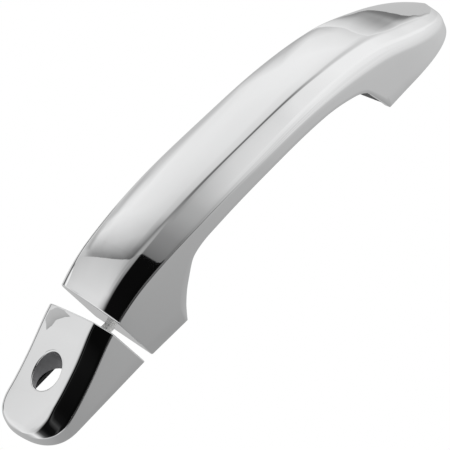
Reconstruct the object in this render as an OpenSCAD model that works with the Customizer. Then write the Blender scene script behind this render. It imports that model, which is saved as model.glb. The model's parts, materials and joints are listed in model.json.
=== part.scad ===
// Outside door handle: chromed pull grip on a hidden front hinge, chromed key-cylinder cap,
// and the frame, bellcrank and return spring that sit behind the door skin.
// +X runs towards the hinge end, +Z is up on the car and the outside of the door is -Y.
// The plane Y = 0 is the inner face of the door skin, where the frame seats.

/* [Grip] */
// Length of the grip from its parting end to its nose
grip_len = 186.5; // [184:0.5:189]
// Half height of the grip at its parting end
grip_half_end = 18; // [17:0.1:19]
// Half height of the grip in its middle
grip_half_mid = 19.9; // [19:0.1:20.5]
// Height of the finger gap above the foot plane
finger_gap = 24.5; // [23:0.1:25]
// Wall of the chromed shells
shell_wall = 2.4; // [2:0.1:2.8]
// Lean of the parting end, run over rise
end_lean = 0.27; // [0.2:0.01:0.3]
// Swing of the grip at full pull, degrees
grip_swing = 6; // [4:0.5:6]

/* [Cap] */
// Distance between grip and cap at the foot plane
parting_gap = 3.7; // [3:0.1:5]
// Length of the cap along the foot plane
cap_len = 49.9; // [49:0.1:51]
// Half height of the cap
cap_half = 17.7; // [17:0.1:18.5]
// Radius of the keyhole
keyhole_r = 6.9; // [6.5:0.05:7.2]
// Distance of the keyhole's axis from the cap's parting end
keyhole_x = 27.8; // [27:0.1:29]
// Height of the keyhole's axis above the middle of the cap
keyhole_z = 1.9; // [0:0.1:3]

/* [Frame] */
// Thickness of the door skin
skin = 0.8; // [0.7:0.05:1]
// Thickness of the frame's plate
plate = 3; // [2.5:0.1:3.5]
// Distance between the two fixing inserts
bolt_pitch = 64; // [60:1:66]
// Radius of the insert's thread bore (M5)
bolt_r = 2.5; // [2.5:0.1:2.6]

/* [Hinge and bellcrank] */
// Place of the hinge axis along the handle
hinge_x = 169; // [168:0.5:170]
// Depth of the hinge axis behind the skin's inner face
hinge_y = 8; // [7.5:0.1:8.5]
// Radius of the hinge pin and of the bellcrank pin
pin_r = 2; // [2:0.05:2.1]
// Running clearance of pins in their bushes
pin_play = 0.05; // [0.04:0.01:0.08]
// Length of the bellcrank's finger
finger_len = 18; // [17.8:0.1:18.2]

/* [Hidden] */
$fn = 48;

// Height of the grip's and the cap's foot above the skin
foot_lift = 0.8;
// Foot plane of grip and cap, and places along X
foot_y = -(skin + foot_lift);
grip_x = -10;
cap_x = grip_x - parting_gap;
nose_start = 151;
nose_power = 2.85;
tail_start = 36.8;
tail_power = 2.5;
arch_start = 19.2;
arch_len = 120.4;
fit_gap = 0.2;

// Edge height along the grip, rise of the crease above it, crease place and half height
edge_line = [[-8, 21.2], [15, 29.4], [45, 32], [80, 31.4], [115, 29.2], [145, 23.4], [166, 14.4],
             [186.5, 4.8]];
crease_line = [[-8, 2.4], [60, 2.8], [140, 2.3], [186.5, 1.2]];
crease_place = [[0, 8.8], [70, 8.7], [150, 8]];
half_line = [[0, grip_half_end], [45, grip_half_mid], [100, 19.4], [150, 18.7]];
// Finger gap: fraction of its length, fraction of its height
arch_line = [[0, 0], [0.025, 0.29], [0.06, 0.58], [0.12, 0.9], [0.25, 1], [0.5, 0.995], [0.75, 0.915],
             [0.88, 0.76], [0.94, 0.59], [0.97, 0.32], [1, 0]];
// Edge height along the cap, measured from its parting end
cap_edge_line = [[0, 22.4], [17, 16.2], [34, 8.4], [49.9, 3.2]];
cap_crease_rise = 3.4;
cap_crease_z = 10.2;
crown = 1.2;
cap_crown = 0.8;
cap_wall = 2.2;
// Edge radii, and how the parting ends lean and straighten
grip_edge_r = 1.4;
cap_edge_r = 1.2;
end_skew = 0.11;
grip_lean_run = 30;
cap_end_lean = 0.285;
cap_lean_run = 25;

// Bellcrank: axis, rest angle and the finger that the pull arm drags
crank_y = 10.5;
crank_half_travel = 8.2;
crank_half_angle = asin(crank_half_travel / finger_len);
arm_z0 = 9.4;
arm_z1 = 14.8;
arm_x0 = 0.6;
arm_x1 = 8;
ledge_x0 = 9;
ledge_x1 = 17;
ledge_y = 22.1;
ledge_t = 4.4;
ledge_z1 = 19.9;
finger_tip_r = 2.2;
finger_half = 1.4;
crank_z = 19.5 + finger_len * cos(crank_half_angle);
bolt_x = 86.5;
bolt_z = 27;

// Smooth curve through a table of [x, value] points
function slope(t, i) =
    let (a = max(i - 1, 0), b = min(i + 1, len(t) - 1))
    (t[b][1] - t[a][1]) / (t[b][0] - t[a][0]);
function seg(t, x, i = 0) = (i >= len(t) - 2 || x < t[i + 1][0]) ? i : seg(t, x, i + 1);
function curve(t, x) =
    let (i = seg(t, x), h = t[i + 1][0] - t[i][0], u = (x - t[i][0]) / h)
    (2 * u * u * u - 3 * u * u + 1) * t[i][1] + (u * u * u - 2 * u * u + u) * h * slope(t, i)
    + (3 * u * u - 2 * u * u * u) * t[i + 1][1] + (u * u * u - u * u) * h * slope(t, i + 1);
function clamp(x, a, b) = min(max(x, a), b);
function ease(u) = let (c = clamp(u, 0, 1)) c * c * (3 - 2 * c);

// Rounded corner at p between a and b, as n + 1 points of a quadratic curve
function corner(a, p, b, r, n) =
    let (da = a - p, db = b - p, ra = min(r, 0.45 * norm(da)), rb = min(r, 0.45 * norm(db)),
         s = p + da / norm(da) * ra, e = p + db / norm(db) * rb)
    [for (i = [0:n]) let (u = i / n) s * (1 - u) * (1 - u) + p * 2 * u * (1 - u) + e * u * u];

// Superellipse that closes a plan outline towards its end
function taper(x, start, end, power) =
    let (u = clamp((x - start) / (end - start), 0, 1)) pow(1 - pow(u, power), 1 / power);

// Outline of one cross-section as [z, h] points: lower wall, bevel, crease, crown, upper wall
function crown_h(z, zc, w, c, e, lift) =
    let (u = (z + zc) / (w + zc)) c + (e - c) * u + lift * 4 * u * (1 - u);
function section(w, e, rise, zc, base, lift, r) =
    let (k = min(1, w / 12), c = e + rise, lo = [-w, base], edge = [-w, e], crease = [-zc, c], top = [w, e],
         hi = [w, base], mid = [-zc + 3 * k, crown_h(-zc + 3 * k, zc, w, c, e, lift)],
         late = [w - 4 * k, crown_h(w - 4 * k, zc, w, c, e, lift)])
    concat([lo], corner(lo, edge, crease, r * k, 3), corner(edge, crease, mid, 2 * r * k, 3),
           [for (u = [0.2, 0.4, 0.6, 0.78]) let (z = -zc + u * (w + zc)) [z, crown_h(z, zc, w, c, e, lift)]],
           corner(late, top, hi, 2.2 * r * k, 4), [hi]);
// Inner outline, walked back from the upper wall to the lower one
function inner_section(w, e, rise, zc, base, lift, t, k) =
    let (wi = w - t,
         raw = [[wi, base], [0.97 * wi, e - t - 0.8], [0.86 * wi, e - t + 0.1],
                [0.35 * wi, crown_h(0.35 * wi, zc, w, e + rise, e, lift) - t],
                [-0.1 * wi, crown_h(-0.1 * wi, zc, w, e + rise, e, lift) - t],
                [-0.5 * wi, e + rise - t], [-0.91 * wi, e - t], [-0.97 * wi, e - t - 0.8], [-wi, base]])
    [for (p = raw) [p[0], base + k * (p[1] - base)]];

// Closed solid from rings of equal length; each end is a fan round its own middle
function middle(r) = [for (k = [0:2]) [for (p = r) p[k]] * [for (p = r) 1] / len(r)];
function ring_faces(n, m) = concat(
    [for (j = [0:m - 1]) [n * m, (j + 1) % m, j]],
    [for (i = [0:n - 2], j = [0:m - 1]) [i * m + j, (i + 1) * m + (j + 1) % m, (i + 1) * m + j]],
    [for (i = [0:n - 2], j = [0:m - 1]) [i * m + j, i * m + (j + 1) % m, (i + 1) * m + (j + 1) % m]],
    [for (j = [0:m - 1]) [n * m + 1, (n - 1) * m + j, (n - 1) * m + (j + 1) % m]]);
module loft(rings) {
    n = len(rings);
    polyhedron(points = concat([for (r = rings, p = r) p], [middle(rings[0]), middle(rings[n - 1])]),
               faces = ring_faces(n, len(rings[0])), convexity = 6);
}

// Cylinders along +X, towards the outside of the door (-Y) and towards its inside (+Y)
module x_cylinder(r, h) { rotate([0, 90, 0]) cylinder(r = r, h = h); }
module out_cylinder(r, h) { rotate([90, 0, 0]) cylinder(r = r, h = h); }
module in_cylinder(r, h) { rotate([-90, 0, 0]) cylinder(r = r, h = h); }

// Grip: half height, finger gap and the leaning parting end
function grip_w(x) = curve(half_line, clamp(x, 0, 150)) * taper(x, nose_start, grip_len, nose_power);
function arch(x) =
    let (u = clamp((x - arch_start) / arch_len, 0, 1)) finger_gap * max(curve(arch_line, u), 0);
function grip_lean(x, z, h) = (end_skew * (z + grip_half_end) - end_lean * h) * (1 - ease(x / grip_lean_run));
function grip_zc(x) = min(curve(crease_place, clamp(x, 0, 150)), 0.5 * grip_w(x));
function grip_point(x, p) = [grip_x + x + grip_lean(x, p[0], p[1]), foot_y - p[1], p[0]];
grip_stations = concat([0, 1.2, 2.4, 3.2, 6, 10, 14, 17, 19.2, 20, 21, 22.2, 23.7, 25.5, 28, 31, 35],
                       [for (x = [40:7:117]) x], [121, 124.5, 127.5, 130, 132, 133.5, 135, 136.3, 138, 139.6],
                       [for (x = [143.5:4.5:174]) x], [177, 178, 180.5, 182.5, 184, 185.2, 186, 186.4]);
grip_cavity_end = 177;
function cavity_depth(x) = x < 2.5 || x > grip_cavity_end ? 0 : 1;

module grip_shell() {
    rings = [for (x = grip_stations)
        let (w = grip_w(x), e = curve(edge_line, x), rise = curve(crease_line, x), zc = grip_zc(x),
             b = arch(x))
        [for (p = concat(section(w, e, rise, zc, b, crown, grip_edge_r),
                         inner_section(w, e, rise, zc, b, crown, min(shell_wall, 0.4 * w), cavity_depth(x))))
            grip_point(x, p)]];
    color("gainsboro") difference() {
        union() {
            loft(rings);
            for (p = grip_screw_places) translate([p[0], -boss_end, p[1]]) rotate([90, 0, 0])
                cylinder(r = boss_r, h = p[2] - boss_end);
        }
        for (p = grip_screw_places) translate([p[0], 1 - boss_end, p[1]]) rotate([90, 0, 0])
            cylinder(r = screw_r, h = screw_bite + 1);
    }
}

// Carrier: fills the shell from the finger side, with the hinge lug and the pull arm
foot_recess = 1.2;
carrier_stations = concat([3.6, 6, 10, 14, 17, 19.2, 20.2, 21.4, 23, 25, 28, 32], [for (x = [38:8:118]) x],
                          [122, 126, 129, 131.5, 133.5, 135.2, 136.8, 138.2, 139.6, 144, 150, 157,
                            164, 170, 176]);
function carrier_floor(x) = max(arch(x), foot_recess);
function carrier_section(x) =
    let (w = grip_w(x) - shell_wall - fit_gap, e = curve(edge_line, x), rise = curve(crease_line, x),
         zc = grip_zc(x), b = carrier_floor(x), t = shell_wall + fit_gap,
         swell = arch(x) > foot_recess ? 1.2 * ease((arch(x) - foot_recess) / 8) : 0)
    [[-w, b], [-w + 0.8, e - t - 1.2], [-w + 1.6, e - t - 0.2], [-min(zc, 0.6 * w), e + rise - t],
     [-0.1 * w, crown_h(-0.1 * w, zc, w, e + rise, e, crown) - t],
     [0.35 * w, crown_h(0.35 * w, zc, w, e + rise, e, crown) - t],
     [w - 2.6, e - t - 0.1], [w - 0.9, e - t - 1.2], [w, b],
     [0.5 * w, b - 0.7 * swell], [0, b - swell], [-0.5 * w, b - 0.7 * swell]];
// Screw places [x, z] with the depth at which the shell's boss ends inside its wall
grip_screw_places = [[1, -5, 31], [140, -7, 24.2]];
screw_r = 1.1;
screw_seat = 7.6;
boss_end = 9.8;
boss_r = 2.4;
screw_bite = 7;
screw_head_r = 2.8;
screw_well_r = 3;
lug_z0 = 4;
lug_z1 = 11;
bush_r = 3;

module pull_arm() {
    translate([0, 0, arm_z0]) linear_extrude(arm_z1 - arm_z0)
        polygon([[arm_x0, foot_y - 6], [arm_x1, foot_y - 6], [arm_x1, 7], [14.5, ledge_y],
                 [ledge_x1, ledge_y], [ledge_x1, ledge_y + ledge_t], [9.6, ledge_y + ledge_t],
                 [arm_x0, 10]]);
    translate([ledge_x0, ledge_y, arm_z0]) cube([ledge_x1 - ledge_x0, ledge_t, ledge_z1 - arm_z0]);
}
// Lug that reaches back through the skin to the hinge axis
module hinge_lug() {
    translate([0, 0, lug_z0]) linear_extrude(lug_z1 - lug_z0)
        polygon([[162.2, foot_y - 4], [166.4, foot_y - 4], [166.4, -0.6], [hinge_x + 4.3, 7],
                 [hinge_x - 4.3, 9.2], [162.2, 1]]);
    translate([hinge_x, hinge_y, lug_z0]) cylinder(r = 4.5, h = lug_z1 - lug_z0);
}
module grip_carrier() {
    color("#232426") difference() {
        union() {
            loft([for (x = carrier_stations) [for (p = carrier_section(x)) grip_point(x, p)]]);
            pull_arm();
            hinge_lug();
        }
        translate([hinge_x, hinge_y, lug_z0 - 1]) cylinder(r = bush_r, h = lug_z1 - lug_z0 + 2);
        for (p = grip_screw_places) translate([p[0], 0, p[1]]) rotate([90, 0, 0]) {
            cylinder(r = screw_r + 0.2, h = boss_end + 1);
            cylinder(r = screw_well_r, h = screw_seat);
            translate([0, 0, boss_end - 0.1]) cylinder(r = boss_r + 0.1, h = p[2]);
        }
        for (p = buffer_places) translate([p[0], foot_y, p[1]]) out_cylinder(r = buffer_peg_r, h = 5);
    }
}

// Pan-head screw along +Y: its head's flat side is at y = 0 and its shank runs to -Y
module screw(head_r, head_h, shank_r, shank_l) {
    out_cylinder(r = shank_r, h = shank_l);
    difference() {
        in_cylinder(r = head_r, h = head_h);
        translate([0, head_h - 1, 0]) in_cylinder(r = head_r * 0.5, h = 2, $fn = 6);
    }
}
module grip_screws() {
    color("silver") for (p = grip_screw_places)
        translate([p[0], -screw_seat, p[1]])
            screw(screw_head_r, 1.8, screw_r, boss_end + screw_bite - screw_seat - 0.4);
}
module hinge_bush() {
    color("ivory") translate([hinge_x, hinge_y, lug_z0]) difference() {
        cylinder(r = bush_r, h = lug_z1 - lug_z0);
        translate([0, 0, -1]) cylinder(r = pin_r + pin_play, h = lug_z1 - lug_z0 + 2);
    }
}
// Steel clip pressed over the arm's ledge, where the finger slides
clip_z0 = 15.2;
clip_t = 0.6;
module arm_wear_clip() {
    color("silver") translate([ledge_x0 + 0.5, ledge_y - clip_t, clip_z0]) difference() {
        cube([ledge_x1 - ledge_x0 - 1, ledge_t + 2 * clip_t, ledge_z1 - clip_z0 + clip_t]);
        translate([-1, clip_t, -1]) cube([ledge_x1 - ledge_x0 + 2, ledge_t, ledge_z1 - clip_z0 + 1]);
    }
}
buffer_places = [[-1, 3], [2, -11], [141, 7], [150, -6]];
buffer_r = 2.4;
buffer_peg_r = 1.5;
module foot_buffers() {
    color("black") for (p = buffer_places) translate([p[0], -skin - 0.1, p[1]]) rotate([90, 0, 0]) {
        cylinder(r = buffer_r, h = foot_recess + 0.7);
        cylinder(r = buffer_peg_r, h = 5.5);
    }
}

// Cap: x is measured from its parting end towards the tail
function cap_w(x) = cap_half * taper(x, tail_start, cap_len, tail_power);
function cap_lean(x, h) = -cap_end_lean * h * (1 - ease(x / cap_lean_run));
function cap_point(x, p) = [cap_x - x + cap_lean(x, p[1]), foot_y - p[1], p[0]];
function cap_rise(x) = cap_crease_rise * pow(clamp((cap_len + 1 - x) / 13, 0, 1), 0.5);
function reversed(s) = [for (i = [len(s) - 1:-1:0]) s[i]];
cap_stations = [0, 1.1, 2.2, 3, 6, 10, 15, 20, 25, 30, 34, 37, 40, 42.5, 44, 45.5, 47, 48.2, 49.2, 49.8];
cap_cavity_end = 45;
module cap_shell() {
    rings = [for (x = cap_stations)
        let (w = cap_w(x), e = curve(cap_edge_line, x), rise = cap_rise(x), zc = min(cap_crease_z, 0.6 * w))
        [for (p = reversed(concat(section(w, e, rise, zc, 0, cap_crown * min(1, w / 12), cap_edge_r),
                    inner_section(w, e, rise, zc, 0, cap_crown, min(cap_wall, 0.4 * w),
                                  x < 2.5 || x > cap_cavity_end ? 0 : 1))))
            cap_point(x, p)]];
    color("gainsboro") difference() {
        union() {
            loft(rings);
            intersection() {
                cap_core();
                translate([0, -collar_depth, 0]) keyhole(collar_r, 20);
            }
        }
        keyhole(keyhole_r, 30);
    }
}
// Collar inside the shell round the keyhole: it is trimmed just under the outer surface
collar_r = 8.1;
collar_depth = 7.8;
module cap_core() {
    skin_in = 1.1;
    loft([for (x = [17, 20, 25, 30, 34, 38.5])
        let (w = cap_w(x) - skin_in, e = curve(cap_edge_line, x) - skin_in, rise = cap_rise(x))
        [for (p = reversed(section(w, e, rise, cap_crease_z, 0.5, cap_crown, cap_edge_r))) cap_point(x, p)]]);
}
module keyhole(r, l) { translate([cap_x - keyhole_x, foot_y + 1, keyhole_z]) out_cylinder(r = r, h = l); }

sleeve_floor = 6.5;
boss_x = cap_x - 8;
boss_z = 3;
cap_insert_r = 2.8;
cap_screw_r = 2;
function cap_fill(x) =
    let (w = cap_w(x) - cap_wall - fit_gap, e = curve(cap_edge_line, x), t = cap_wall + fit_gap,
         zc = cap_crease_z, c = e + cap_rise(x))
    [[w, 0.2], [w - 0.9, e - t - 1.2], [w - 2.6, e - t - 0.1],
     [0.35 * w, crown_h(0.35 * w, zc, w, c, e, cap_crown) - t],
     [-0.1 * w, crown_h(-0.1 * w, zc, w, c, e, cap_crown) - t],
     [-0.5 * w, c - t], [-w + 1.6, e - t - 0.2], [-w + 0.8, e - t - 1.2], [-w, 0.2]];
module cap_carrier() {
    color("#232426") difference() {
        union() {
            loft([for (x = [3.4, 7, 12, 18, 24, 30, 34.5]) [for (p = cap_fill(x)) cap_point(x, p)]]);
            translate([boss_x, 0, boss_z]) out_cylinder(r = 4, h = 6);
        }
        translate([cap_x - cap_len, foot_y - sleeve_floor, -20]) cube([cap_len - 12.5, sleeve_floor + 3, 40]);
        keyhole(collar_r + 0.1, 24);
        translate([boss_x, 1, boss_z]) out_cylinder(r = cap_insert_r, h = 13);
    }
}
module cap_insert() {
    color("goldenrod") translate([boss_x, -1.5, boss_z]) rotate([90, 0, 0]) difference() {
        cylinder(r = cap_insert_r, h = 8);
        translate([0, 0, -1]) cylinder(r = cap_screw_r, h = 10);
    }
}
module cap_screw() {
    color("silver") translate([boss_x, plate, boss_z]) screw(4, 2.6, cap_screw_r, plate + 9);
}

// Gaskets on the outer face of the skin, with pegs that reach the frame
module rounded(x0, z0, x1, z1, r) {
    translate([x0 + r, z0 + r]) square([x1 - x0 - 2 * r, z1 - z0 - 2 * r]);
    for (x = [x0 + r, x1 - r], z = [z0 + r, z1 - r]) translate([x, z]) circle(r);
    translate([x0, z0 + r]) square([x1 - x0, z1 - z0 - 2 * r]);
    translate([x0 + r, z0]) square([x1 - x0 - 2 * r, z1 - z0]);
}
// Flat piece in the XZ plane, from y0 towards the inside of the door
module flat(y0, t) { translate([0, y0 + t, 0]) rotate([90, 0, 0]) linear_extrude(t) children(); }
gasket_t = 1.6;
module pegs(places) {
    for (p = places) translate([p[0], 0, p[1]]) out_cylinder(r = 1.1, h = skin + 0.4);
}
module rear_gasket() {
    color("black") union() {
        flat(-skin - gasket_t, gasket_t) difference() {
            polygon([[-5.9, -14.4], [7.4, -14.4], [7.4, 8.6], [-3.3, 8.6]]);
            for (p = [buffer_places[0], buffer_places[1]]) translate([p[0], p[1]]) circle(3);
            translate([grip_screw_places[0][0], grip_screw_places[0][1]]) circle(3);
        }
        pegs([[-3.9, -9], [5.5, 0]]);
    }
}
module front_gasket() {
    color("black") union() {
        flat(-skin - gasket_t, gasket_t) difference() {
            rounded(133, -13.5, 161, 13.5, 3);
            for (p = [buffer_places[2], buffer_places[3]]) translate([p[0] + 0.4, p[1]]) circle(3.5);
            translate([grip_screw_places[1][0], grip_screw_places[1][1]]) circle(3);
        }
        pegs([[156.5, -5], [156, 8]]);
    }
}
module cap_gasket() {
    color("black") union() {
        flat(-skin - gasket_t, gasket_t) difference() {
            rounded(-54, -14, -26.6, 15.2, 3);
            rounded(-51, -11.2, -28.6, 14.1, 2);
        }
        pegs([[-36, -12.6], [-52.5, 0]]);
    }
}

// Frame behind the skin
// Neck that joins the cap's end of the frame to its beam, behind the parting gap
neck_x = -16;
neck_len = 12;
neck_z = 10;
neck_h = 3;
ear_x = [5, 41];
ear_t = 3;
ear_r = 5;
hinge_ear_t = 3.8;
insert_r = 3.6;
insert_boss_r = 5.2;
relief_r = 5;
relief_pitch = 16.5;
relief_z = 26.5;
module chassis_plate() {
    difference() {
        union() {
            polygon([[-6.5, -11], [6, -11], [13, 8], [20, 11], [126, 15], [133, 8], [136.5, -8], [160, -8],
                     [170, -3], [174.5, 3], [174, 13], [171, 17], [163, 20], [136, 27], [128, 36], [60, 36],
                     [50, 46], [14, 44], [2.6, 38], [-0.2, 34], [-3, 22.5], [-4.4, 9]]);
            rounded(-54, -11, -14.6, 21.5, 5);
            translate([neck_x, neck_z]) square([neck_len, neck_h]);
        }
        rounded(-0.4, 7.6, 17.6, 22, 1.5);
        rounded(10, 11, 15.6, 28, 1.5);
        rounded(-50.5, -8, -26.5, 19, 3);
        translate([boss_x, boss_z]) circle(cap_screw_r + 0.25);
        rounded(161.4, 3.2, 171.4, 11.8, 1);
        for (x = [-1, 0, 1]) translate([bolt_x + relief_pitch * x, relief_z]) circle(relief_r);
    }
}
module chassis() {
    color("whitesmoke") difference() {
        union() {
            flat(0, plate) chassis_plate();
            // Flanges that stiffen the beam
            translate([50, plate, 33.5]) cube([78, 6, 2.5]);
            translate([24, plate, 17]) cube([104, 5, 2.5]);
            for (s = [-1, 1]) translate([bolt_x + s * bolt_pitch / 2, plate, bolt_z]) rotate([-90, 0, 0])
                cylinder(r = insert_boss_r, h = 7);
            // Ears of the bellcrank pin
            for (x = ear_x) {
                translate([x, plate, crank_z - ear_r]) cube([ear_t, crank_y - plate, 2 * ear_r]);
                translate([x, crank_y, crank_z]) x_cylinder(r = ear_r, h = ear_t);
            }
            // Ears of the hinge pin
            for (z = [-0.2, lug_z1 + 0.4]) {
                translate([hinge_x - ear_r, plate - 1, z])
                    cube([2 * ear_r, hinge_y - plate + 1, hinge_ear_t]);
                translate([hinge_x, hinge_y, z]) cylinder(r = ear_r, h = hinge_ear_t);
            }
            // Stop above the spring's fixed leg
            translate([coil_x0 - 2, plate, crank_z + coil_r + wire_r + 0.35]) cube([4, 3, 1.3]);
        }
        translate([0, crank_y, crank_z]) x_cylinder(r = pin_r, h = 60);
        translate([hinge_x, hinge_y, -5]) cylinder(r = pin_r, h = 25);
        for (s = [-1, 1]) translate([bolt_x + s * bolt_pitch / 2, -1, bolt_z]) rotate([-90, 0, 0])
            cylinder(r = insert_r, h = 14);
    }
}
// Acetal lining of the arm's window, clipped in from behind
module arm_guide() {
    color("ivory") flat(plate, 1.6) difference() {
        rounded(-1.8, 5.8, 19.6, 24, 1.5);
        rounded(-0.1, 7.9, 17.3, 21.7, 1);
        rounded(10.2, 11, 15.4, 26, 1);
    }
}
module frame_inserts() {
    color("goldenrod") for (s = [-1, 1])
        translate([bolt_x + s * bolt_pitch / 2, 0.5, bolt_z]) rotate([-90, 0, 0]) difference() {
            cylinder(r = insert_r, h = 9.5);
            translate([0, 0, -1]) cylinder(r = bolt_r, h = 12);
        }
}
module hinge_pin() {
    color("silver") translate([hinge_x, hinge_y, -1]) cylinder(r = pin_r, h = 17.4);
}

// Bellcrank, drawn in its own frame round its axis and placed at rest
hub_r = 4.4;
bush_wall = 1;
hub_x0 = 8.6;
hub_x1 = 40.4;
rod_arm = 17;
weight_arm = 13;
rod_angle = 40;
weight_angle = 100;
weight_screw_r = 1.5;
rod_seat_r = 2.2;
rod_r = 1.5;
module at_crank() { translate([0, crank_y, crank_z]) children(); }
// Lever in the YZ plane: angle is measured from +Y towards +Z
module lever(x0, x1, angle, reach, r1, half) {
    rotate([angle, 0, 0]) translate([x0, 0, 0]) rotate([0, 90, 0]) linear_extrude(x1 - x0) {
        translate([-half, 0]) square([2 * half, reach]);
        translate([0, reach]) circle(r1);
    }
}
finger_angle = -90 + crank_half_angle;
module bellcrank() {
    color("#8a8d90") at_crank() difference() {
        union() {
            translate([hub_x0, 0, 0]) x_cylinder(r = hub_r, h = hub_x1 - hub_x0);
            lever(10.6, 15, finger_angle, finger_len, finger_tip_r, finger_half);
            lever(18, 22, weight_angle, weight_arm, 3, 3);
            lever(34, 38, rod_angle, rod_arm, 3.4, 3.4);
        }
        x_cylinder(r = pin_r + bush_wall, h = 60);
        rotate([rod_angle, 0, 0]) translate([30, rod_arm, 0]) x_cylinder(r = rod_seat_r, h = 12);
        rotate([weight_angle, 0, 0]) translate([10, weight_arm, 0]) x_cylinder(r = weight_screw_r, h = 16);
        rotate([rod_angle, 0, 0]) translate([30, hook_arm, 0]) x_cylinder(r = wire_r + 0.1, h = 12);
    }
}
module bellcrank_bushes() {
    color("ivory") at_crank()
    for (x = [hub_x0, hub_x1 - 8]) translate([x, 0, 0]) rotate([0, 90, 0]) difference() {
        cylinder(r = pin_r + bush_wall, h = 8);
        translate([0, 0, -1]) cylinder(r = pin_r + pin_play, h = 10);
    }
}
module bellcrank_pin() {
    color("silver") at_crank() translate([ear_x[0] - 2, 0, 0]) rotate([0, 90, 0])
        cylinder(r = pin_r, h = ear_x[1] + ear_t - ear_x[0] + 4);
}
// Push-on retaining discs on the ends of both pins
disc_r = 3.8;
disc_t = 0.8;
module pin_clip() {
    difference() {
        cylinder(r = disc_r, h = disc_t);
        translate([0, 0, -1]) cylinder(r = pin_r, h = 3);
    }
}
module pin_clips() {
    color("dimgray") {
        at_crank() for (x = [ear_x[0] - disc_t, ear_x[1] + ear_t])
            translate([x, 0, 0]) rotate([0, 90, 0]) pin_clip();
        translate([hinge_x, hinge_y, lug_z1 + 4.2]) pin_clip();
        translate([hinge_x, hinge_y, -1]) pin_clip();
    }
}
// Torsion spring round the hub: one leg lies under the frame's stop, the other hooks into the rod lever
wire_r = 0.6;
coil_r = hub_r + wire_r + 0.35;
hook_arm = 9.5;
coil_start = 90;
coil_turn = 4 * 360 + coil_start - rod_angle - acos(coil_r / hook_arm);
coil_x0 = 24.4;
coil_pitch = 1.7;
coil_steps = 48;
fixed_leg = 6.4;
hook_len = 6.4;
hook_drift = 0.05;
function coil_point(u) =
    let (a = coil_start - coil_turn * u)
    [coil_x0 + coil_pitch * coil_turn / 360 * u, coil_r * cos(a), coil_r * sin(a)];
hook_point = [coil_point(1)[0], hook_arm * cos(rod_angle), hook_arm * sin(rod_angle)];
spring_path = concat([[coil_x0, -fixed_leg, coil_r]],
                     [for (i = [0:coil_steps]) coil_point(i / coil_steps)],
                     [hook_point, hook_point + [hook_len, hook_drift, 0]]);
function unit(v) = v / norm(v);
function sweep_ring(path, i, r, n) =
    let (a = path[max(i - 1, 0)], b = path[min(i + 1, len(path) - 1)], t = unit(b - a),
         u = unit(cross(t, [1, 0, 0])), v = cross(u, t))
    [for (j = [0:n - 1]) path[i] + r * (cos(360 * j / n) * u + sin(360 * j / n) * v)];
module return_spring() {
    color("silver") at_crank()
        loft([for (i = [0:len(spring_path) - 1]) sweep_ring(spring_path, i, wire_r, 8)]);
}
module counterweight() {
    color("#6d6f72") at_crank() rotate([weight_angle, 0, 0]) translate([22, weight_arm, 0]) rotate([0, 90, 0])
        difference() {
            cylinder(r = 5, h = 11);
            translate([0, 0, -1]) cylinder(r = weight_screw_r, h = 14);
        }
}
module counterweight_screw() {
    color("silver") at_crank() rotate([weight_angle, 0, 0])
            translate([33, weight_arm, 0]) rotate([0, 90, 0]) {
        cylinder(r = 3, h = 2);
        translate([0, 0, -15]) cylinder(r = weight_screw_r, h = 15.5);
    }
}
// Snap clip that takes the end of the latch rod
module rod_clip() {
    color("ivory") at_crank()
    rotate([rod_angle, 0, 0]) translate([33, rod_arm, 0]) rotate([0, 90, 0]) difference() {
        union() {
            cylinder(r = rod_seat_r, h = 6);
            translate([0, 0, 5.1]) cylinder(r = 4.4, h = 2);
            cylinder(r = 3.6, h = 0.9);
        }
        translate([0, 0, -1]) cylinder(r = rod_r, h = 10);
    }
}

grip_shell();
grip_carrier();
grip_screws();
hinge_bush();
arm_wear_clip();
foot_buffers();
cap_shell();
cap_carrier();
cap_insert();
cap_screw();
front_gasket();
rear_gasket();
cap_gasket();
chassis();
arm_guide();
frame_inserts();
hinge_pin();
bellcrank();
bellcrank_bushes();
bellcrank_pin();
pin_clips();
return_spring();
counterweight();
counterweight_screw();
rod_clip();
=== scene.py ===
import json
import math

import bmesh
import bpy
import numpy as np
from mathutils import Matrix, Vector


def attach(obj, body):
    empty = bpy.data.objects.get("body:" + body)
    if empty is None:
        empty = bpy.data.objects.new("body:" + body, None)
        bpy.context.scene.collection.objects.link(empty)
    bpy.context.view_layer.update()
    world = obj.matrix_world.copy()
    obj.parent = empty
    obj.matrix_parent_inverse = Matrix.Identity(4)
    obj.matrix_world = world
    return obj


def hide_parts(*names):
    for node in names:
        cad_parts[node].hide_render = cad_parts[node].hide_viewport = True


# Looks of a chromed car door handle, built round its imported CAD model.
# The two shells are rebuilt as fine meshes from the same lines as the CAD part, in its millimetres:
# x runs along the piece, z across it, and h is the height above the foot plane.
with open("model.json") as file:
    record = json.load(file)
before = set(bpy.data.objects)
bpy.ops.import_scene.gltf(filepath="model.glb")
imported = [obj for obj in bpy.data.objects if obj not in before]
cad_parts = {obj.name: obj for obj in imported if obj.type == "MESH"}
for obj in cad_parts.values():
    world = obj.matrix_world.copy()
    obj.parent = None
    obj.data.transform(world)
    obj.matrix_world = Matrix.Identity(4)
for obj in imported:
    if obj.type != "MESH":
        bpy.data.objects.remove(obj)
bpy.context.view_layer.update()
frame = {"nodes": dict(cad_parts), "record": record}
nodes = frame["nodes"]
MM = 0.001

# The foot plane, and the place of each piece's parting end
FOOT_Y = -1.6
GRIP_X = -10.0
CAP_X = -13.7

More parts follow.
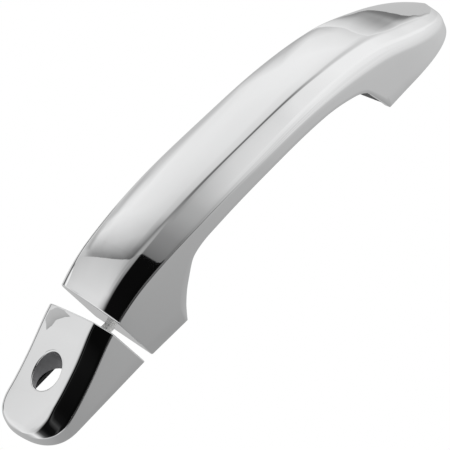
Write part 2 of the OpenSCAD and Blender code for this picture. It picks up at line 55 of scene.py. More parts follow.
# Grip: its rounded nose, the finger arch, the lean and skew of its parting end, and its lines along x
GRIP_LEN = 186.5
GRIP_HALF_END = 18.0
GRIP_CROWN = 1.2
GRIP_WALL = 2.4
GRIP_CAVITY_END = 177
GRIP_CREASE_SHARE = 0.5
NOSE_START = 151.0
NOSE_POWER = 2.85
ARCH_START = 19.2
ARCH_LEN = 120.4
FINGER_GAP = 24.5
GRIP_LEAN = 0.27
GRIP_SKEW = 0.11
GRIP_LEAN_RUN = 30
LINES_END = 150
EDGE_LINE = [(-8, 21.2), (15, 29.4), (45, 32), (80, 31.4), (115, 29.2), (145, 23.4), (166, 14.4),
             (186.5, 4.8)]
CREASE_LINE = [(-8, 2.4), (60, 2.8), (140, 2.3), (186.5, 1.2)]
CREASE_PLACE = [(0, 8.8), (70, 8.7), (150, 8)]
HALF_LINE = [(0, GRIP_HALF_END), (45, 19.9), (100, 19.4), (150, 18.7)]
ARCH_LINE = [(0, 0), (0.025, 0.29), (0.06, 0.58), (0.12, 0.9), (0.25, 1), (0.5, 0.995), (0.75, 0.915),
             (0.88, 0.76), (0.94, 0.59), (0.97, 0.32), (1, 0)]
# Radii of the lower edge and the crease, and how far the upper edge is rolled on the face and on the wall
GRIP_EDGE_R = [(0, 0.8), (60, 1.1), (100, 2.2), (140, 4.2), (165, 4.0), (186.5, 2)]
GRIP_CREASE_R = [(0, 2.1), (40, 1.0), (75, 0.6), (105, 0.8), (135, 1.5), (160, 1.8), (186.5, 1.2)]
GRIP_TOP = (2.4, 1.2)

# Cap: its rounded tail, its crease, which sinks into the tail, and the lean of its parting end
CAP_LEN = 49.9
CAP_HALF = 17.7
CAP_CROWN = 0.8
CAP_WALL = 2.2
CAP_CAVITY_END = 45
TAIL_START = 36.8
TAIL_POWER = 2.5
CAP_CREASE_Z = 10.2
CAP_CREASE_SHARE = 0.6
CAP_CREASE_RISE = 3.4
CREASE_SINK_RUN = 13
CREASE_PAST_TAIL = 1
CAP_LEAN = 0.285
CAP_LEAN_RUN = 25
CAP_EDGE_LINE = [(0, 22.4), (17, 16.2), (34, 8.4), (49.9, 3.2)]
CAP_RADII = (0.6, 0.9, 3.0, 1.4)

# Both shells: radii shrink below this half width, and a wall takes at most this share of a half width
FULL_HALF = 12
WALL_SHARE = 0.4
LEAST_HEIGHT = 0.1
CAVITY_START = 2.55
RIM_R = 0.5
RIM_REACH = 4 * RIM_R
# The crown runs from this far past the crease to this far before the upper edge, and the two rounded
# corners there may take up these shares of the sides beside them
CROWN_FROM = 3
CROWN_TO = 4
CREASE_REACH = 0.85
TOP_REACH = 0.75

# Fineness of the meshes: steps of each part of a section, and stretches of rings as (end, step)
RIM_STEPS = 3
WALL_STEPS = 3
EDGE_STEPS = 8
BEVEL_STEPS = 5
CREASE_STEPS = 9
CROWN_STEPS = 20
TOP_STEPS = 16
CROWN_FIRST = RIM_STEPS + WALL_STEPS + EDGE_STEPS + BEVEL_STEPS + CREASE_STEPS + 3
GRIP_PART_R = 0.7
CAP_PART_R = 0.6
PART_FLAT = 0.4
PART_ANGLES = (18, 36, 54, 72, 90)
FIRST_RING = 0.1
BLOCK_START = 17.0
BLOCK_Z = (-7.8, 11.6)
BLOCK_STEPS = 32
BLOCK_TO_EDGE = 3
GRIP_STRETCHES = ((2.5, 0.6), (3.2, 0.35), (ARCH_START, 1.2), (24, 0.3), (36, 0.8), (120, 1.8),
                  (ARCH_START + ARCH_LEN, 0.45), (NOSE_START, 1.2))
CAP_STRETCHES = ((2.5, 0.6), (3.2, 0.35), (BLOCK_START, 1.0), (TAIL_START, 0.55))
GRIP_TIP_RINGS = 46
CAP_TIP_RINGS = 34
TIP_LAST_DEG = 89.4
SHARP_DEG = 32
MERGE_DIST = 2e-6
DEGENERATE_DIST = 1e-6

# Keyhole and the collar behind it
KEY_X = -41.5
KEY_Z = 1.9
KEY_R = 6.9
LIP_R = 0.55
COLLAR_R = 8.1
COLLAR_FOOT = 6.8
COLLAR_CHAMFER = 0.3
LIP_ANGLES = (15, 30, 45, 60, 75, 90)
FACE_STEPS = 6
BACK_SHARES = (0.66, 0.33)
SOLVE_STEPS = 12


def clamp(v, low, high):
    """v kept between low and high."""
    return min(max(v, low), high)


def ease(u):
    """Smooth step from 0 to 1."""
    c = clamp(u, 0, 1)
    return c * c * (3 - 2 * c)


def curve(table, x):
    """Smooth curve through a table of (x, value) points."""
    last = len(table) - 1
    i = 0
    while i < last - 1 and x >= table[i + 1][0]:
        i += 1

    def slope(k):
        """Slope at the table's point k, from the points beside it."""
        a, b = table[max(k - 1, 0)], table[min(k + 1, last)]
        return (b[1] - a[1]) / (b[0] - a[0])

    step = table[i + 1][0] - table[i][0]
    u = (x - table[i][0]) / step
    low, high = table[i][1], table[i + 1][1]
    return ((2 * u**3 - 3 * u**2 + 1) * low + (u**3 - 2 * u**2 + u) * step * slope(i)
            + (3 * u**2 - 2 * u**3) * high + (u**3 - u**2) * step * slope(i + 1))


def taper(x, start, end, power):
    """Superellipse that falls from 1 at start to 0 at end."""
    u = clamp((x - start) / (end - start), 0, 1)
    return (1 - u**power) ** (1 / power)


def corner(a, p, b, r, n, reach=0.45, end_r=None):
    """Rounded corner at p between a and b, as n + 1 points of a quadratic curve."""
    a, p, b = (np.array(v, float) for v in (a, p, b))
    da, db = a - p, b - p
    la, lb = np.linalg.norm(da), np.linalg.norm(db)
    start = p + da / la * min(r, reach * la)
    end = p + db / lb * min(end_r or r, reach * lb)
    return [start * (1 - u) ** 2 + p * 2 * u * (1 - u) + end * u**2 for u in np.linspace(0, 1, n + 1)]


def between(a, b, n):
    """n points strictly between a and b."""
    return [np.array(a) + (np.array(b) - np.array(a)) * k / (n + 1) for k in range(1, n + 1)]


def shrink(w):
    """Share of the radii that a section of half width w can hold."""
    return min(1.0, w / FULL_HALF)


def crown_height(z, zc, w, crease, edge, lift):
    """Height of the face between the crease at -zc and the upper edge at w, lifted in the middle."""
    u = (z + zc) / (w + zc)
    return crease + (edge - crease) * u + lift * 4 * u * (1 - u)


def outline(w, edge, rise, zc, base, lift, radii, crown_z):
    """Outer section as (z, h) points: rim, lower wall, bevel, crease, crown, upper wall, rim."""
    k = shrink(w)
    edge_r, crease_r, roll, top_r = (r * k for r in radii)
    crease = edge + rise
    low, foot = (-w, edge), (-w, base)
    high, top_foot = (w, edge), (w, base)
    ridge = (-zc, crease)
    mid = (-zc + CROWN_FROM * k, crown_height(-zc + CROWN_FROM * k, zc, w, crease, edge, lift))
    late = (w - CROWN_TO * k, crown_height(w - CROWN_TO * k, zc, w, crease, edge, lift))
    rim = corner((-w + RIM_REACH, base), foot, low, RIM_R * k, RIM_STEPS)
    edge_turn = corner(foot, low, ridge, edge_r, EDGE_STEPS)
    ridge_turn = corner(low, ridge, mid, crease_r, CREASE_STEPS, CREASE_REACH)
    top_turn = corner(late, high, top_foot, roll, TOP_STEPS, TOP_REACH, top_r)
    end_rim = corner(high, top_foot, (w - RIM_REACH, base), RIM_R * k, RIM_STEPS)
    crown = [np.array((z, crown_height(z, zc, w, crease, edge, lift))) for z in crown_z]
    return np.array(rim + between(rim[-1], edge_turn[0], WALL_STEPS) + edge_turn
                    + between(edge_turn[-1], ridge_turn[0], BEVEL_STEPS) + ridge_turn + crown
                    + top_turn + between(top_turn[-1], end_rim[0], WALL_STEPS) + end_rim)


def inner_outline(outer, w, edge, base, wall, depth):
    """Inner section: the outer one drawn in by the wall, pressed flat on the foot where depth is 0."""
    t = min(wall, WALL_SHARE * w)
    z = outer[:, 0] * (w - t) / w
    h = outer[:, 1]
    drawn_in = max(edge - t - base, LEAST_HEIGHT) / max(edge - base, LEAST_HEIGHT)
    body = base + (np.minimum(h, edge) - base) * drawn_in + np.maximum(h - edge, 0)
    return np.column_stack([z, base + depth * (body - base)])


def new_object(name, shell, body, replaced):
    """Mesh object of a shell, cleaned, smooth-shaded and attached to its body, with the CAD part it
    replaces hidden.
    """
    mesh = bpy.data.meshes.new(name)
    mesh.from_pydata([tuple(v) for v in np.array(shell.verts) * MM], [], shell.faces)
    bm = bmesh.new()
    bm.from_mesh(mesh)
    bmesh.ops.remove_doubles(bm, verts=bm.verts, dist=MERGE_DIST)
    bmesh.ops.dissolve_degenerate(bm, edges=bm.edges, dist=DEGENERATE_DIST)
    bmesh.ops.recalc_face_normals(bm, faces=bm.faces)
    bm.to_mesh(mesh)
    bm.free()
    for polygon in mesh.polygons:
        polygon.use_smooth = True
    mesh.set_sharp_from_angle(angle=math.radians(SHARP_DEG))
    obj = bpy.data.objects.new(name, mesh)
    bpy.context.scene.collection.objects.link(obj)
    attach(obj, body)
    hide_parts(replaced)
    return obj


class ShellMesh:
    """Closed shell between an outer and an inner grid of points, with a block that can be left open."""

    def __init__(self, outer, inner, block=None):
        """Takes two grids of points of one size, and a block as its first and last row and column."""
        self.verts = []
        self.faces = []
        self.outer = self.add_grid(outer)
        self.inner = self.add_grid(inner)
        self.block = block
        rows, cols = len(outer), len(outer[0])
        skin, lining = self.outer, self.inner
        for i in range(rows - 1):
            for j in range(cols - 1):
                if not self.in_block(i, j):
                    self.quad(skin[i][j], skin[i + 1][j], skin[i + 1][j + 1], skin[i][j + 1])
                    self.quad(lining[i][j], lining[i][j + 1], lining[i + 1][j + 1], lining[i + 1][j])
            for j in (0, cols - 1):
                self.quad(skin[i][j], skin[i + 1][j], lining[i + 1][j], lining[i][j])
        for i in (0, rows - 1):
            for j in range(cols - 1):
                self.quad(skin[i][j], skin[i][j + 1], lining[i][j + 1], lining[i][j])

    def add_grid(self, grid):
        """Adds rows of points and returns their numbers."""
        return [self.add_ring(row) for row in grid]

    def add_ring(self, points):
        """Adds points and returns their numbers."""
        first = len(self.verts)
        self.verts.extend(points)
        return list(range(first, first + len(points)))

    def quad(self, *ids):
        """Adds one face."""
        self.faces.append(ids)

    def in_block(self, i, j):
        """True for a cell that is left open."""
        return self.block and self.block[0] <= i < self.block[1] and self.block[2] <= j < self.block[3]

    def border(self, grid):
        """The block's border vertices in order."""
        i0, i1, j0, j1 = self.block
        return ([grid[i0][j] for j in range(j0, j1)] + [grid[i][j1] for i in range(i0, i1)]
                + [grid[i1][j] for j in range(j1, j0, -1)] + [grid[i][j0] for i in range(i1, i0, -1)])

    def bridge(self, a, b):
        """Joins two closed rings with faces and returns the second."""
        count = len(a)
        for k in range(count):
            self.quad(a[k], a[(k + 1) % count], b[(k + 1) % count], b[k])
        return b


def grip_w(x):
    """Half width of the grip, with x measured from its parting end."""
    return curve(HALF_LINE, clamp(x, 0, LINES_END)) * taper(x, NOSE_START, GRIP_LEN, NOSE_POWER)


def arch(x):
    """Height of the grip's underside above the foot plane."""
    u = clamp((x - ARCH_START) / ARCH_LEN, 0, 1)
    return FINGER_GAP * max(curve(ARCH_LINE, u), 0)


def grip_points(x, section):
    """Section of the grip in the frame's millimetres, leaning near the parting end."""
    z, h = section[:, 0], section[:, 1]
    lean = (GRIP_SKEW * (z + GRIP_HALF_END) - GRIP_LEAN * h) * (1 - ease(x / GRIP_LEAN_RUN))
    return np.column_stack([GRIP_X + x + lean, FOOT_Y - h, z])


def spread(*stops):
    """Places from a list of (end, step) stretches, each divided evenly."""
    places = [stops[0]]
    for end, step in stops[1:]:
        count = max(1, round((end - places[-1]) / step))
        places += [places[-1] + (end - places[-1]) * k / count for k in range(1, count + 1)]
        places[-1] = end
    return places


def end_round(r):
    """(x, inset) pairs of the rounded edge at a parting end, from its flat face outwards."""
    turn = [(r * (1 - math.cos(a)), r * (1 - math.sin(a))) for a in np.radians(PART_ANGLES)]
    return [(0.0, r + PART_FLAT), (0.0, r)] + turn


def tip_places(start, end, power, count):
    """Places that turn evenly round a superellipse's tip."""
    angles = np.radians(np.linspace(0, TIP_LAST_DEG, count))
    return [start + (end - start) * math.sin(a) ** (2 / power) for a in angles[1:]]


def grip_rings():
    """Outer and inner rings of points of the grip's shell."""
    places = end_round(GRIP_PART_R)
    places += [(x, 0.0) for x in spread(GRIP_PART_R + FIRST_RING, *GRIP_STRETCHES)]
    places += [(x, 0.0) for x in tip_places(NOSE_START, GRIP_LEN, NOSE_POWER, GRIP_TIP_RINGS)]
    outer, inner = [], []
    for x, inset in places:
        w = grip_w(x) - inset
        edge = curve(EDGE_LINE, x) - inset
        zc = min(curve(CREASE_PLACE, clamp(x, 0, LINES_END)), GRIP_CREASE_SHARE * w)
        k = shrink(w)
        crown_z = np.linspace(-zc + CROWN_FROM * k, w - CROWN_TO * k, CROWN_STEPS)
        radii = (curve(GRIP_EDGE_R, x), curve(GRIP_CREASE_R, x), *GRIP_TOP)
        section = outline(w, edge, curve(CREASE_LINE, x), zc, arch(x), GRIP_CROWN, radii, crown_z)
        depth = int(CAVITY_START <= x <= GRIP_CAVITY_END)
        outer.append(grip_points(x, section))
        inner.append(grip_points(x, inner_outline(section, w, edge, arch(x), GRIP_WALL, depth)))
    return outer, inner


def cap_w(x):
    """Half width of the cap, with x measured from its parting end."""
    return CAP_HALF * taper(x, TAIL_START, CAP_LEN, TAIL_POWER)


def cap_rise(x):
    """Height of the cap's crease above its edges."""
    return CAP_CREASE_RISE * clamp((CAP_LEN + CREASE_PAST_TAIL - x) / CREASE_SINK_RUN, 0, 1) ** 0.5


def cap_lean(x, h):
    """Shift along x of a point at height h."""
    return -CAP_LEAN * h * (1 - ease(x / CAP_LEAN_RUN))


def cap_points(x, section):
    """Section of the cap in the frame's millimetres."""
    z, h = section[:, 0], section[:, 1]
    return np.column_stack([CAP_X - x + cap_lean(x, h), FOOT_Y - h, z])


def cap_face(x, z):
    """Height of the cap's outer face, between its crease and its upper edge."""
    w, edge = cap_w(x), curve(CAP_EDGE_LINE, x)
    return crown_height(z, CAP_CREASE_Z, w, edge + cap_rise(x), edge, CAP_CROWN)


def cap_inside(x, z):
    """Height of the inner side of that face."""
    w = cap_w(x)
    return cap_face(x, z * w / (w - CAP_WALL)) - CAP_WALL


def on_face(height, along, z):
    """Point of a face of the cap that lies at a given place along the handle."""
    x = CAP_X - along
    for _ in range(SOLVE_STEPS):
        x = CAP_X - along + cap_lean(x, height(x, z))
    return np.array([along, FOOT_Y - height(x, z), z])


def cap_rings():
    """Outer and inner rings of points of the cap's shell, and the block left open round the keyhole."""
    places = end_round(CAP_PART_R)
    places += [(x, 0.0) for x in spread(CAP_PART_R + FIRST_RING, *CAP_STRETCHES)]
    first = next(i for i, p in enumerate(places) if p[0] == BLOCK_START)
    last = len(places) - 1
    places += [(x, 0.0) for x in tip_places(TAIL_START, CAP_LEN, TAIL_POWER, CAP_TIP_RINGS)]
    outer, inner = [], []
    for x, inset in places:
        w = cap_w(x) - inset
        edge = curve(CAP_EDGE_LINE, x) - inset
        zc = min(CAP_CREASE_Z, CAP_CREASE_SHARE * w)
        k = shrink(w)
        scale = w / CAP_HALF
        past_block = np.linspace(BLOCK_Z[1] * scale, w - CROWN_TO * k, BLOCK_TO_EDGE + 2)[1:-1]
        crown_z = np.concatenate([np.linspace(BLOCK_Z[0], BLOCK_Z[1], BLOCK_STEPS) * scale, past_block])
        section = outline(w, edge, cap_rise(x), zc, 0, CAP_CROWN * k, CAP_RADII, crown_z)
        depth = int(CAVITY_START <= x <= CAP_CAVITY_END)
        outer.append(cap_points(x, section))
        inner.append(cap_points(x, inner_outline(section, w, edge, 0, CAP_WALL, depth)))
    return outer, inner, (first, last, CROWN_FIRST, CROWN_FIRST + BLOCK_STEPS - 1)


def keyhole(shell):
    """Joins outer and inner face through the keyhole: lip, bore, collar's foot and collar's outside."""
    border = shell.border(shell.outer)
    start = np.array([shell.verts[v] for v in border])
    angles = np.arctan2(start[:, 2] - KEY_Z, start[:, 0] - KEY_X)
    way = np.column_stack([np.cos(angles), np.sin(angles)])

    def circle(r):
        """(x, z) points of a circle round the keyhole's axis."""
        return np.array([KEY_X, KEY_Z]) + r * way

    def level(r, h):
        """Points of such a circle at height h."""
        return [np.array([x, FOOT_Y - h, z]) for x, z in circle(r)]

    def rings_on(face, points, r, steps):
        """Rings that close in on a circle along a face of the cap."""
        goal = circle(r)
        for t in np.linspace(0, 1, steps + 1)[1:]:
            plan = points[:, [0, 2]] * (1 - t) + goal * t
            yield shell.add_ring([on_face(face, x, z) for x, z in plan])

    ring = border
    for face_ring in rings_on(cap_face, start, KEY_R + LIP_R, FACE_STEPS):
        ring = shell.bridge(ring, face_ring)
    lip = np.array([shell.verts[v] for v in ring])
    for a in np.radians(LIP_ANGLES):
        plan = circle(KEY_R + LIP_R * (1 - math.sin(a)))
        depth = LIP_R * (1 - math.cos(a))
        points = [np.array([p[0], q[1] + depth, p[1]]) for p, q in zip(plan, lip)]
        ring = shell.bridge(ring, shell.add_ring(points))
    for r, h in [(KEY_R, COLLAR_FOOT + COLLAR_CHAMFER), (KEY_R + COLLAR_CHAMFER, COLLAR_FOOT),
                 (COLLAR_R - COLLAR_CHAMFER, COLLAR_FOOT), (COLLAR_R, COLLAR_FOOT + COLLAR_CHAMFER)]:
        ring = shell.bridge(ring, shell.add_ring(level(r, h)))
    inner_border = shell.border(shell.inner)
    inside = np.array([shell.verts[v] for v in inner_border])
    back = [shell.add_ring([on_face(cap_inside, x, z) for x, z in circle(COLLAR_R)])]
    for t in BACK_SHARES:
        plan = inside[:, [0, 2]] * (1 - t) + circle(COLLAR_R) * t
        back.append(shell.add_ring([on_face(cap_inside, x, z) for x, z in plan]))
    for back_ring in back + [inner_border]:
        ring = shell.bridge(ring, back_ring)


grip_obj = new_object("grip_shell_polished", ShellMesh(*grip_rings()), "grip", "grip_shell")
cap_shell = ShellMesh(*cap_rings())
keyhole(cap_shell)
cap_obj = new_object("cap_shell_polished", cap_shell, "frame", "cap_shell")

# Grain of every material: detail of its noise, and height of its bumps in metres
GRAIN_DETAIL = 4.0
BUMP_HEIGHT = 0.0001


def material(name, color, vary, rough, rough_vary, metal, grain, bump):
    """Principled surface with fine variation of colour, roughness and, where bump isn't 0, height."""
    mat = bpy.data.materials.new(name)
    mat.use_nodes = True
    tree = mat.node_tree
    shader = tree.nodes["Principled BSDF"]
    shader.inputs["Metallic"].default_value = metal
    where = tree.nodes.new("ShaderNodeTexCoord")
    noise = tree.nodes.new("ShaderNodeTexNoise")
    noise.inputs["Scale"].default_value = grain
    noise.inputs["Detail"].default_value = GRAIN_DETAIL
    tree.links.new(where.outputs["Object"], noise.inputs["Vector"])
    tint = tree.nodes.new("ShaderNodeMix")
    tint.data_type = "RGBA"
    tint.inputs["A"].default_value = (*[c * (1 - vary) for c in color], 1)
    tint.inputs["B"].default_value = (*[min(1, c * (1 + vary)) for c in color], 1)
    tree.links.new(noise.outputs["Fac"], tint.inputs["Factor"])
    tree.links.new(tint.outputs["Result"], shader.inputs["Base Color"])
    gloss = tree.nodes.new("ShaderNodeMapRange")
    gloss.inputs["To Min"].default_value = max(0.0, rough - rough_vary)
    gloss.inputs["To Max"].default_value = rough + rough_vary
    tree.links.new(noise.outputs["Fac"], gloss.inputs["Value"])
    tree.links.new(gloss.outputs["Result"], shader.inputs["Roughness"])
    if bump:
        height = tree.nodes.new("ShaderNodeBump")
        height.inputs["Strength"].default_value = bump
        height.inputs["Distance"].default_value = BUMP_HEIGHT
        tree.links.new(noise.outputs["Fac"], height.inputs["Height"])
        tree.links.new(height.outputs["Normal"], shader.inputs["Normal"])
    return mat


# Each finish: name, colour and its variation, roughness and its variation, metal, scale of grain, bump
FINISHES = {
    "chrome": ("polished_chrome", (0.85, 0.853, 0.856), 0.01, 0.03, 0.01, 1.0, 60, 0.0),
    "black_plastic": ("black_plastic", (0.018, 0.018, 0.019), 0.15, 0.48, 0.06, 0.0, 2500, 0.25),
    "frame_plastic": ("frame_plastic", (0.80, 0.80, 0.79), 0.02, 0.42, 0.05, 0.0, 1800, 0.15),
    "acetal": ("acetal", (0.84, 0.82, 0.74), 0.03, 0.32, 0.05, 0.0, 900, 0.05),
    "rubber": ("rubber", (0.022, 0.022, 0.023), 0.2, 0.75, 0.08, 0.0, 3000, 0.35),
    "steel": ("plated_steel", (0.62, 0.63, 0.64), 0.08, 0.3, 0.08, 1.0, 500, 0.08),
    "spring_steel": ("spring_wire", (0.36, 0.37, 0.39), 0.15, 0.34, 0.1, 1.0, 700, 0.08),
    "die_cast": ("die_cast_zinc", (0.46, 0.47, 0.48), 0.1, 0.46, 0.08, 1.0, 1300, 0.3),
    "brass": ("brass", (0.72, 0.54, 0.24), 0.06, 0.3, 0.06, 1.0, 600, 0.08),
}
BORE_FINISH = ("bore_metal", (0.30, 0.30, 0.31), 0.08, 0.38, 0.06, 0.85, 900, 0.08)
FLOOR_FINISH = ("pale_floor", (0.84, 0.84, 0.84), 0.01, 0.6, 0.05, 0.0, 3, 0.0)

finishes = {slot: material(*finish) for slot, finish in FINISHES.items()}
for entry in frame["record"]["subparts"]:
    target = nodes[entry["node"]].data
    target.materials.clear()
    target.materials.append(finishes[entry["material_slot"]])
for obj in (grip_obj, cap_obj):
    obj.data.materials.append(finishes["chrome"])
# The cap's second material is the darker metal inside the keyhole
cap_obj.data.materials.append(material(*BORE_FINISH))
for polygon in cap_obj.data.polygons:
    from_axis = math.hypot(polygon.center.x / MM - KEY_X, polygon.center.z / MM - KEY_Z)
    if from_axis < KEY_R:
        polygon.material_index = 1

# Camera at the viewing angle of the reference: below the handle, outside the door and behind its cap end
VIEW_CENTRE = Vector((0.056, -0.0156, 0.0))
VIEW_DISTANCE = 1.2196
RIGHT = Vector((0.6442, 0.3192, -0.6950))
DOWN = Vector((-0.6659, 0.6810, -0.3045))
FORWARD = Vector((0.3761, 0.6590, 0.6513))
LENS_WIDTHS = 7.182
SENSOR = 36.0
AIM_RIGHT = 0.001
AIM_DOWN = 0.00924

camera_data = bpy.data.cameras.new("camera")
camera_data.sensor_width = SENSOR
camera_data.lens = SENSOR * LENS_WIDTHS
camera_data.clip_end = 50
camera = bpy.data.objects.new("camera", camera_data)
bpy.context.scene.collection.objects.link(camera)
bpy.context.scene.camera = camera
look = (FORWARD + AIM_RIGHT * RIGHT + AIM_DOWN * DOWN).normalized()
side = (RIGHT - look * RIGHT.dot(look)).normalized()
up = side.cross(look)
turn = Matrix((side, up, -look)).transposed().to_4x4()
camera.matrix_world = Matrix.Translation(VIEW_CENTRE - VIEW_DISTANCE * FORWARD) @ turn

# White surround
world = bpy.data.worlds.new("studio")
bpy.context.scene.world = world
world.use_nodes = True
world.node_tree.nodes["Background"].inputs["Color"].default_value = (1, 1, 1, 1)
world.node_tree.nodes["Background"].inputs["Strength"].default_value = 1.0
bpy.context.scene.view_settings.view_transform = "Standard"

# Soft and dark screens that the chrome reflects: its reflectance, and the distances of the screens
CHROME_LEVEL = 0.85
FAR = 2.5
NEAR = 1.1
LOW = 0.95


def glow_material():
    """Light whose strength is stored at each point of the screen that carries it."""
    mat = bpy.data.materials.new("screen_glow")
    mat.use_nodes = True
    tree = mat.node_tree
    tree.nodes.remove(tree.nodes["Principled BSDF"])
    level = tree.nodes.new("ShaderNodeAttribute")
    level.attribute_name = "level"
    light = tree.nodes.new("ShaderNodeEmission")
    tree.links.new(level.outputs["Fac"], light.inputs["Strength"])
    tree.links.new(light.outputs["Emission"], tree.nodes["Material Output"].inputs["Surface"])
    return mat


screen_glow = glow_material()


def glow(grey):
    """Light level that the chrome shows as this display grey of 0 to 255, by the sRGB curve."""
    return ((grey / 255 + 0.055) / 1.055) ** 2.4 / CHROME_LEVEL


def direction(azimuth, elevation):
    """Unit vector: azimuth from the outside (-Y) towards +X, elevation up, both in degrees."""
    a, e = math.radians(azimuth), math.radians(elevation)
    return Vector((math.sin(a) * math.cos(e), -math.cos(a) * math.cos(e), math.sin(e)))


def screen(name, distance, rows):
    """Curved screen round the object, seen only in reflections, from rows of (azimuth, elevation, grey)."""
    verts = [VIEW_CENTRE + distance * direction(a, e) for row in rows for a, e, _ in row]
    width = len(rows[0])
    faces = [(i * width + j, i * width + j + 1, (i + 1) * width + j + 1, (i + 1) * width + j)
             for i in range(len(rows) - 1) for j in range(width - 1)]
    mesh = bpy.data.meshes.new(name)
    mesh.from_pydata(verts, [], faces)
    levels = mesh.attributes.new("level", "FLOAT", "POINT")
    levels.data.foreach_set("value", [glow(grey) for row in rows for _, _, grey in row])
    mesh.materials.append(screen_glow)
    obj = bpy.data.objects.new(name, mesh)
    bpy.context.scene.collection.objects.link(obj)
    obj.visible_camera = False
    obj.visible_diffuse = False
    obj.visible_shadow = False


def table_rows(azimuths, table):
    """Rows of a screen from a table of (elevation, greys along the azimuths)."""
    return [[(a, elevation, grey) for a, grey in zip(azimuths, greys)] for elevation, greys in table]


# Screens round the object, as display greys by azimuth (across) and elevation (down the table)
screen("front_flag", FAR, table_rows(
    (-88, -78, -66, -56, -48, -40, -19, -14, 8.8),
    [(-30, (215, 215, 110, 40, 10, 8, 8, 8, 8)),
     (-6, (215, 215, 110, 40, 10, 8, 8, 8, 8)),
     (-1, (215, 218, 120, 45, 20, 20, 18, 8, 8)),
     (1, (215, 220, 120, 60, 50, 62, 60, 8, 8)),
     (4, (215, 220, 120, 50, 15, 15, 12, 8, 8)),
     (12, (215, 222, 130, 60, 20, 8, 8, 8, 8)),
     (16.5, (215, 230, 190, 120, 60, 30, 12, 12, 12)),
     (19.5, (215, 232, 220, 185, 150, 105, 100, 110, 140)),
     (26, (215, 232, 226, 205, 180, 155, 180, 190, 150)),
     (32, (215, 232, 228, 215, 195, 185, 205, 210, 150)),
     (38, (205, 225, 230, 222, 215, 212, 218, 215, 186)),
     (44, (205, 222, 230, 224, 222, 218, 218, 212, 192)),
     (57, (205, 222, 228, 224, 220, 216, 214, 209, 196)),
     (63, (205, 222, 228, 224, 220, 216, 212, 207, 192)),
     (70, (205, 215, 222, 220, 214, 210, 206, 200, 190)),
     (72, (205, 212, 215, 212, 208, 205, 200, 195, 190))]))
screen("side_gradient", FAR, table_rows(
    (8.8, 12, 16, 21, 26, 31, 36, 46, 60, 76, 90, 122),
    [(-22, (106, 118, 150, 175, 197, 215, 227, 230, 229, 224, 217, 214)),
     (5, (110, 124, 148, 175, 200, 222, 231, 233, 231, 226, 217, 214)),
     (15, (105, 129, 150, 185, 215, 231, 235, 238, 238, 236, 215, 205)),
     (17.5, (150, 160, 150, 130, 150, 190, 225, 237, 237, 236, 215, 200)),
     (20, (162, 165, 152, 115, 105, 112, 150, 236, 237, 236, 215, 200)),
     (24, (163, 158, 148, 110, 100, 98, 108, 195, 236, 236, 213, 190)),
     (27.5, (147, 140, 125, 120, 110, 108, 120, 195, 202, 228, 200, 190)),
     (30.5, (112, 116, 118, 148, 158, 168, 190, 215, 205, 205, 195, 190)),
     (34, (78, 104, 140, 182, 196, 206, 216, 228, 231, 213, 195, 190)),
     (38, (104, 142, 188, 204, 212, 219, 226, 232, 234, 213, 200, 195)),
     (44, (108, 160, 196, 212, 220, 222, 225, 232, 236, 221, 203, 200)),
     (50, (125, 154, 195, 216, 225, 226, 227, 231, 234, 228, 190, 205)),
     (54, (132, 146, 188, 214, 227, 228, 229, 230, 232, 190, 165, 190)),
     (57.5, (138, 144, 174, 208, 226, 232, 234, 232, 224, 180, 175, 190)),
     (60.5, (144, 144, 168, 205, 226, 234, 228, 208, 192, 182, 180, 190)),
     (63.5, (165, 160, 170, 198, 222, 215, 190, 180, 185, 190, 190, 190)),
     (66.5, (188, 190, 185, 160, 170, 180, 185, 190, 190, 190, 190, 190)),
     (70, (190, 192, 195, 198, 200, 202, 202, 202, 202, 200, 198, 195)),
     (72, (195, 195, 195, 198, 200, 202, 202, 202, 202, 200, 198, 195))]))
screen("overhead", FAR, table_rows(
    (-180, -140, -100, -80, -60, 0, 60, 80, 100, 140, 180),
    [(72, (210, 210, 205, 205, 200, 195, 195, 200, 205, 210, 210)),
     (73, (210, 210, 190, 110, 95, 90, 95, 110, 190, 210, 210)),
     (79, (210, 210, 190, 110, 95, 90, 95, 110, 190, 210, 210)),
     (80.5, (210, 210, 205, 195, 190, 190, 190, 200, 210, 210, 210)),
     (89.5, (205,) * 11)]))
screen("low_front", LOW, table_rows(
    (-82, -66, -56, -44, 4, 12, 21, 31, 46, 76),
    [(-89.5, (120, 100, 70, 30, 40, 40, 40, 45, 50, 60)),
     (-80, (190, 150, 110, 40, 50, 55, 60, 75, 110, 160)),
     (-50, (225, 180, 120, 10, 90, 110, 135, 180, 217, 222)),
     (-22, (236, 195, 130, 8, 100, 115, 170, 210, 228, 224))]))
screen("low_rear", LOW, table_rows(
    (76, 120, 160, 200, 240, 275),
    [(-89.5, (40,) * 6), (-76, (50, 45, 50, 50, 60, 80)), (-68, (120, 90, 90, 95, 110, 130)),
     (-60, (215, 195, 155, 150, 150, 180))]))
screen("rear_low", NEAR, table_rows(
    (76, 92, 106, 120, 130, 136, 142, 147, 153, 160, 164, 185, 222, 236, 250, 262, 275),
    [(-62, (224, 217, 214, 204, 190, 187, 183, 172, 165, 158, 150, 148, 150, 150, 150, 160, 190)),
     (-25, (224, 217, 214, 204, 190, 187, 183, 172, 165, 158, 150, 148, 150, 150, 150, 160, 190)),
     (15, (226, 216, 212, 200, 188, 185, 182, 172, 165, 160, 158, 160, 160, 165, 170, 190, 210))]))
screen("rear_high", NEAR, table_rows(
    (118, 130, 136, 142, 147, 153, 160, 185, 222, 236, 250, 262, 275),
    [(15, (200, 188, 185, 182, 172, 165, 160, 160, 160, 165, 170, 190, 210)),
     (45, (190, 188, 186, 184, 178, 175, 175, 175, 175, 180, 190, 200, 220)),
     (70, (190,) * 13)]))
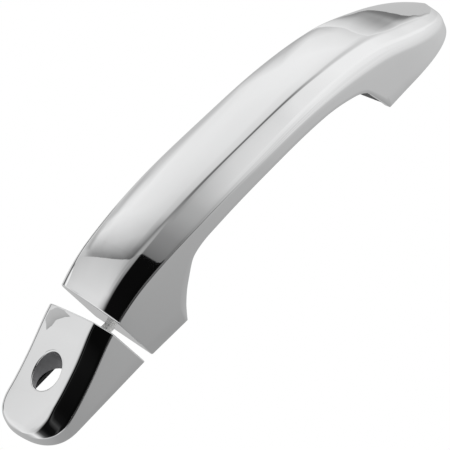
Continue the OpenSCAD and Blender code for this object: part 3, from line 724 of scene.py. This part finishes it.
# Small card close to the cap, which mirrors it as a darker wedge in its upper corner
WEDGE_LINE = ((-70.3, 39.5), (-68.5, 39), (-65, 40.2), (-60, 39.2), (-57.5, 38.4), (-55.6, 37.6))
WEDGE_FALL = ((0, 150), (0.6, 168), (3, 177), (8, 184))
WEDGE_DISTANCE = 0.16
screen("cap_wedge", WEDGE_DISTANCE, [
    [(a, e + fall, grey) for a, e in WEDGE_LINE] for fall, grey in WEDGE_FALL])
# Card near the hinge end: a dark streak with one sharp side and a lighter patch beyond it.
# Each point of the sharp side is (azimuth, elevation, display grey, width of the fade).
TIP_DISTANCE = 0.25
TIP_LINE = ((104, 42, 222, 12), (102, 39, 205, 12), (100, 36, 170, 12), (98.5, 34, 145, 12),
            (96.9, 31.6, 122, 12), (95.5, 30.4, 112, 12),
            (92.6, 28.1, 110, 12), (89.9, 25.6, 110, 11), (87.2, 22, 105, 9), (86.2, 19.6, 115, 6),
            (86.9, 17.3, 155, 3), (88.7, 14.7, 180, 1.5))
TIP_BASE = 225
TIP_FALL = ((0, 1.0), (0.12, 0.9), (0.2, 0.7), (0.28, 0.5), (0.4, 0.35), (0.6, 0.2), (1, 0.0))
PATCH_GREY = 190
PATCH_SPREAD = (0, 7, 15)
screen("tip_shade", TIP_DISTANCE, [
    [(a - part * fade, e, TIP_BASE + (grey - TIP_BASE) * dark) for a, e, grey, fade in TIP_LINE]
    for part, dark in TIP_FALL])
screen("tip_patch", TIP_DISTANCE, [
    [(a + beyond, e, PATCH_GREY) for a, e, _, _ in TIP_LINE] for beyond in PATCH_SPREAD])

# Pale floor far below
FLOOR_Z = -0.98
FLOOR_HALF = 6.0
FLOOR_CORNERS = ((-1, -1), (1, -1), (1, 1), (-1, 1))
floor_mesh = bpy.data.meshes.new("floor")
floor_points = [(x * FLOOR_HALF, y * FLOOR_HALF, FLOOR_Z) for x, y in FLOOR_CORNERS]
floor_mesh.from_pydata(floor_points, [], [(0, 1, 2, 3)])
floor = bpy.data.objects.new("floor", floor_mesh)
bpy.context.scene.collection.objects.link(floor)
floor_mesh.materials.append(material(*FLOOR_FINISH))
